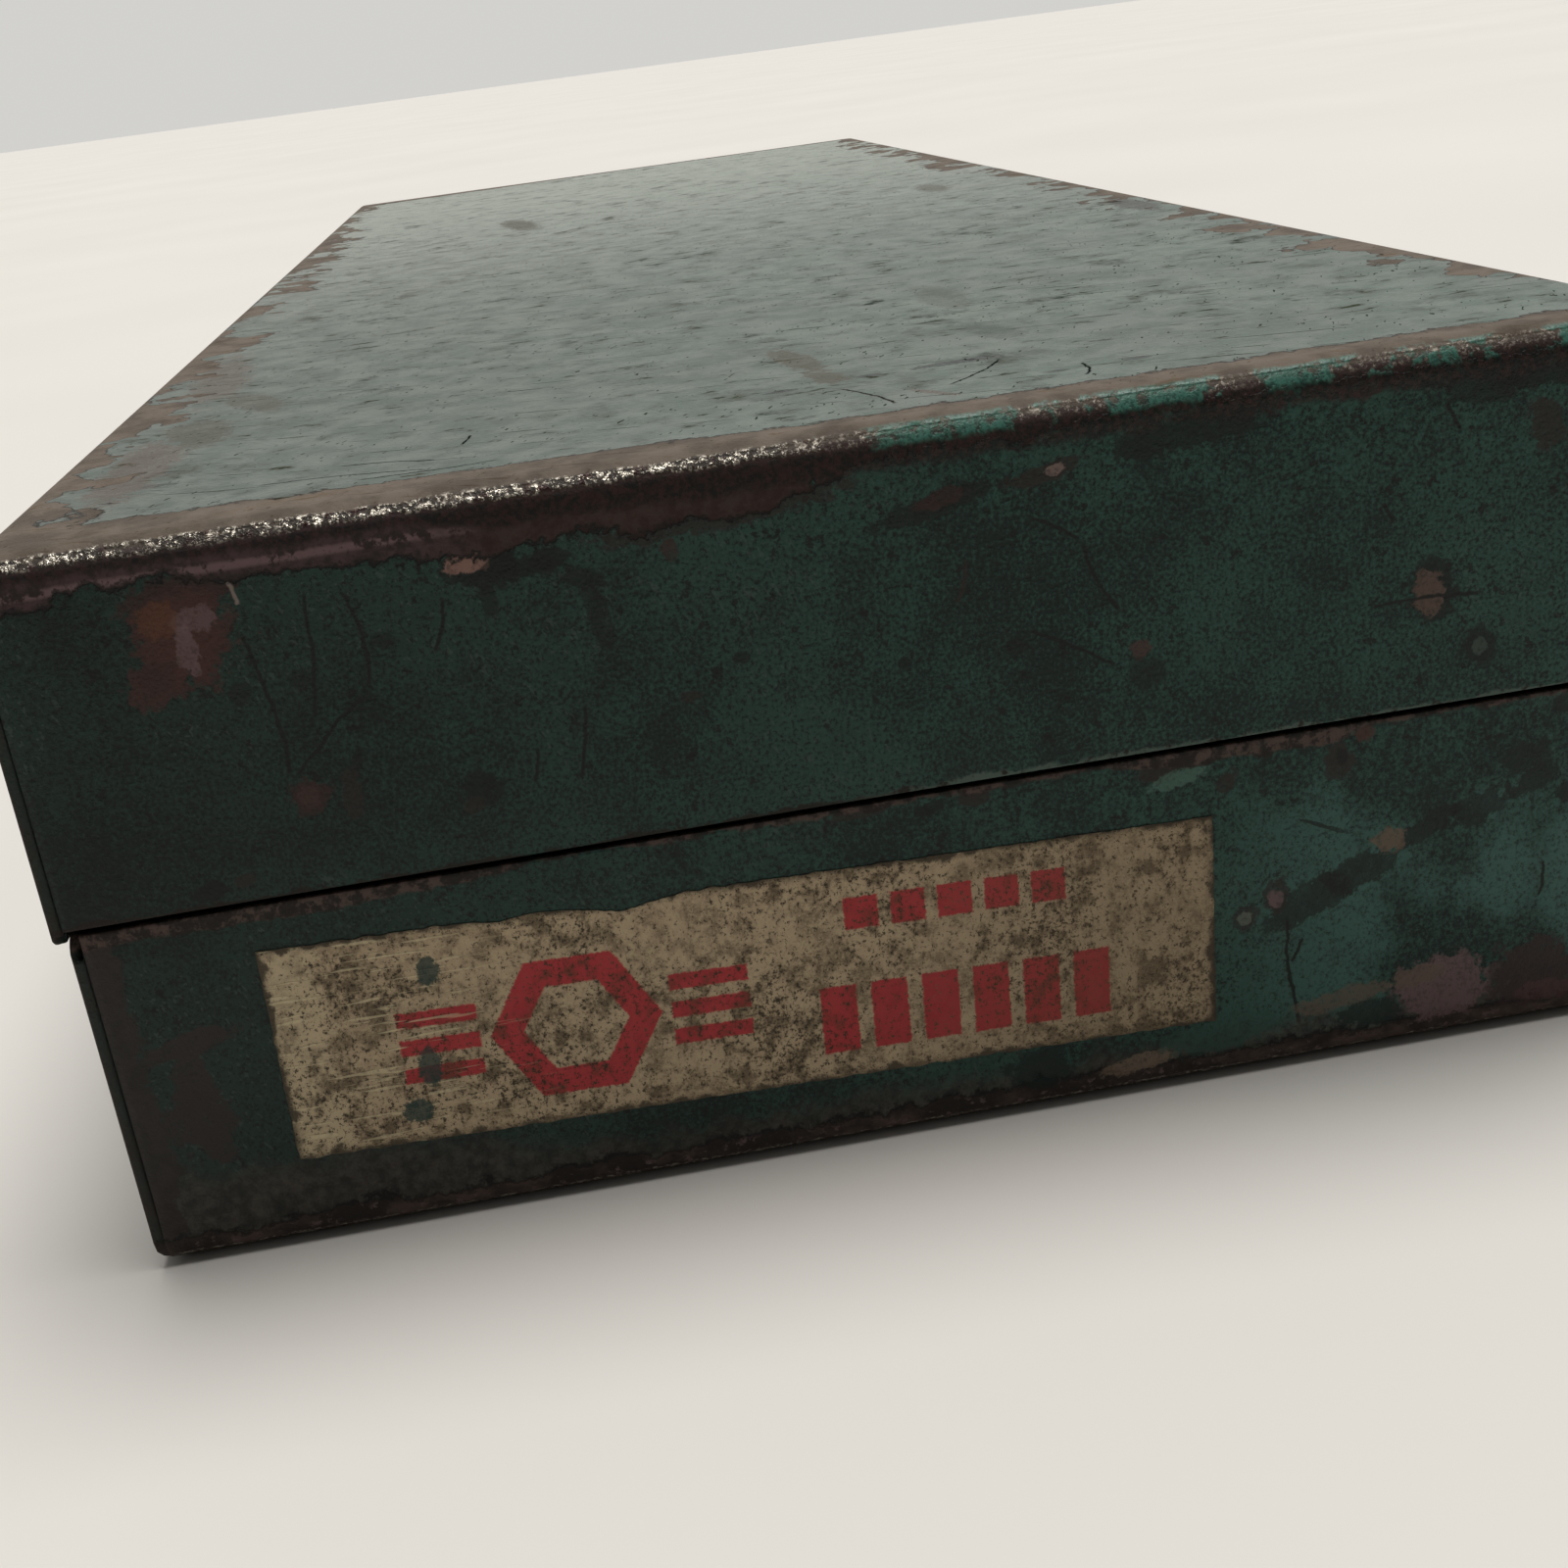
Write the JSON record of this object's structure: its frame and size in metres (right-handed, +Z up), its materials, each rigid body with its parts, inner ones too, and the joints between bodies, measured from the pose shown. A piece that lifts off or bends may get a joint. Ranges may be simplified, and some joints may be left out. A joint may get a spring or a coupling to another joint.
{
  "type": "toolbox with tray",
  "caption": "Flat painted sheet-steel toolbox: a lapping lid on a full-length hinge, snap hasps, a folding rod handle and a divided lift-out tray.",
  "frame": {"origin": "middle of the flat underside that the box rests on, halfway across the lid's width", "axes": "+X along the length towards the labelled end, +Y across the width towards the hinge, +Z up"},
  "size_m": [0.4129, 0.1541, 0.0635],
  "materials": {
    "case_paint": "worn dark green crinkle enamel over primer, rusty at the edges",
    "hinge_steel": "green enamel worn to steel on the knuckles",
    "pin_steel": "oiled dark steel",
    "rivet_steel": "dull steel with rust at the edges",
    "plated_steel": "tarnished plating with rust spots",
    "handle_steel": "tarnished plated rod",
    "tray_paint": "green enamel, scratched on the floor",
    "label_paper": "dirty printed paper"
  },
  "bodies": {
    "case": {"base_shell": "case_paint", "hinge_leaf_base": "hinge_steel", "hinge_pin": "pin_steel", "hinge_rivets_base": "rivet_steel", "hasp_catch_left": "plated_steel", "hasp_catch_right": "plated_steel", "catch_rivets": "rivet_steel", "handle_loop_left": "handle_steel", "handle_loop_right": "handle_steel", "handle_rivets": "rivet_steel", "tray_ledge_left": "tray_paint", "tray_ledge_right": "tray_paint", "label": "label_paper"},
    "lid": {"lid_shell": "case_paint", "hinge_leaf_lid": "hinge_steel", "hinge_rivets_lid": "rivet_steel", "hasp_bracket_left": "plated_steel", "hasp_bracket_right": "plated_steel", "hasp_pin_left": "pin_steel", "hasp_pin_right": "pin_steel", "hasp_rivets": "rivet_steel"},
    "hasp_left": {"hasp_plate_left": "plated_steel"},
    "hasp_right": {"hasp_plate_right": "plated_steel"},
    "handle": {"handle_bail": "handle_steel"},
    "tray": {"tray_pan": "tray_paint", "tray_divider_1": "tray_paint", "tray_divider_2": "tray_paint", "tray_divider_3": "tray_paint", "tray_finger_tab_left": "tray_paint", "tray_finger_tab_right": "tray_paint"}
  },
  "joints": [
    {"name": "lid_hinge", "type": "hinge", "parent": "case", "child": "lid", "pos_m": [0, 0.0722, 0.0324], "axis": [-1, 0, 0], "range_deg": [0, 180]},
    {"name": "hasp_left_pivot", "type": "hinge", "parent": "lid", "child": "hasp_left", "pos_m": [-0.12, -0.0723, 0.039], "axis": [-1, 0, 0], "range_deg": [-8, 120]},
    {"name": "hasp_right_pivot", "type": "hinge", "parent": "lid", "child": "hasp_right", "pos_m": [0.12, -0.0723, 0.039], "axis": [-1, 0, 0], "range_deg": [-8, 120]},
    {"name": "handle_pivot", "type": "hinge", "parent": "case", "child": "handle", "pos_m": [0, -0.0725, 0.025], "axis": [-1, 0, 0], "range_deg": [-2, 175]},
    {"name": "tray_lift", "type": "slide", "parent": "case", "child": "tray", "axis": [0, 0, 1], "range_m": [0, 0.029]}
  ]
}
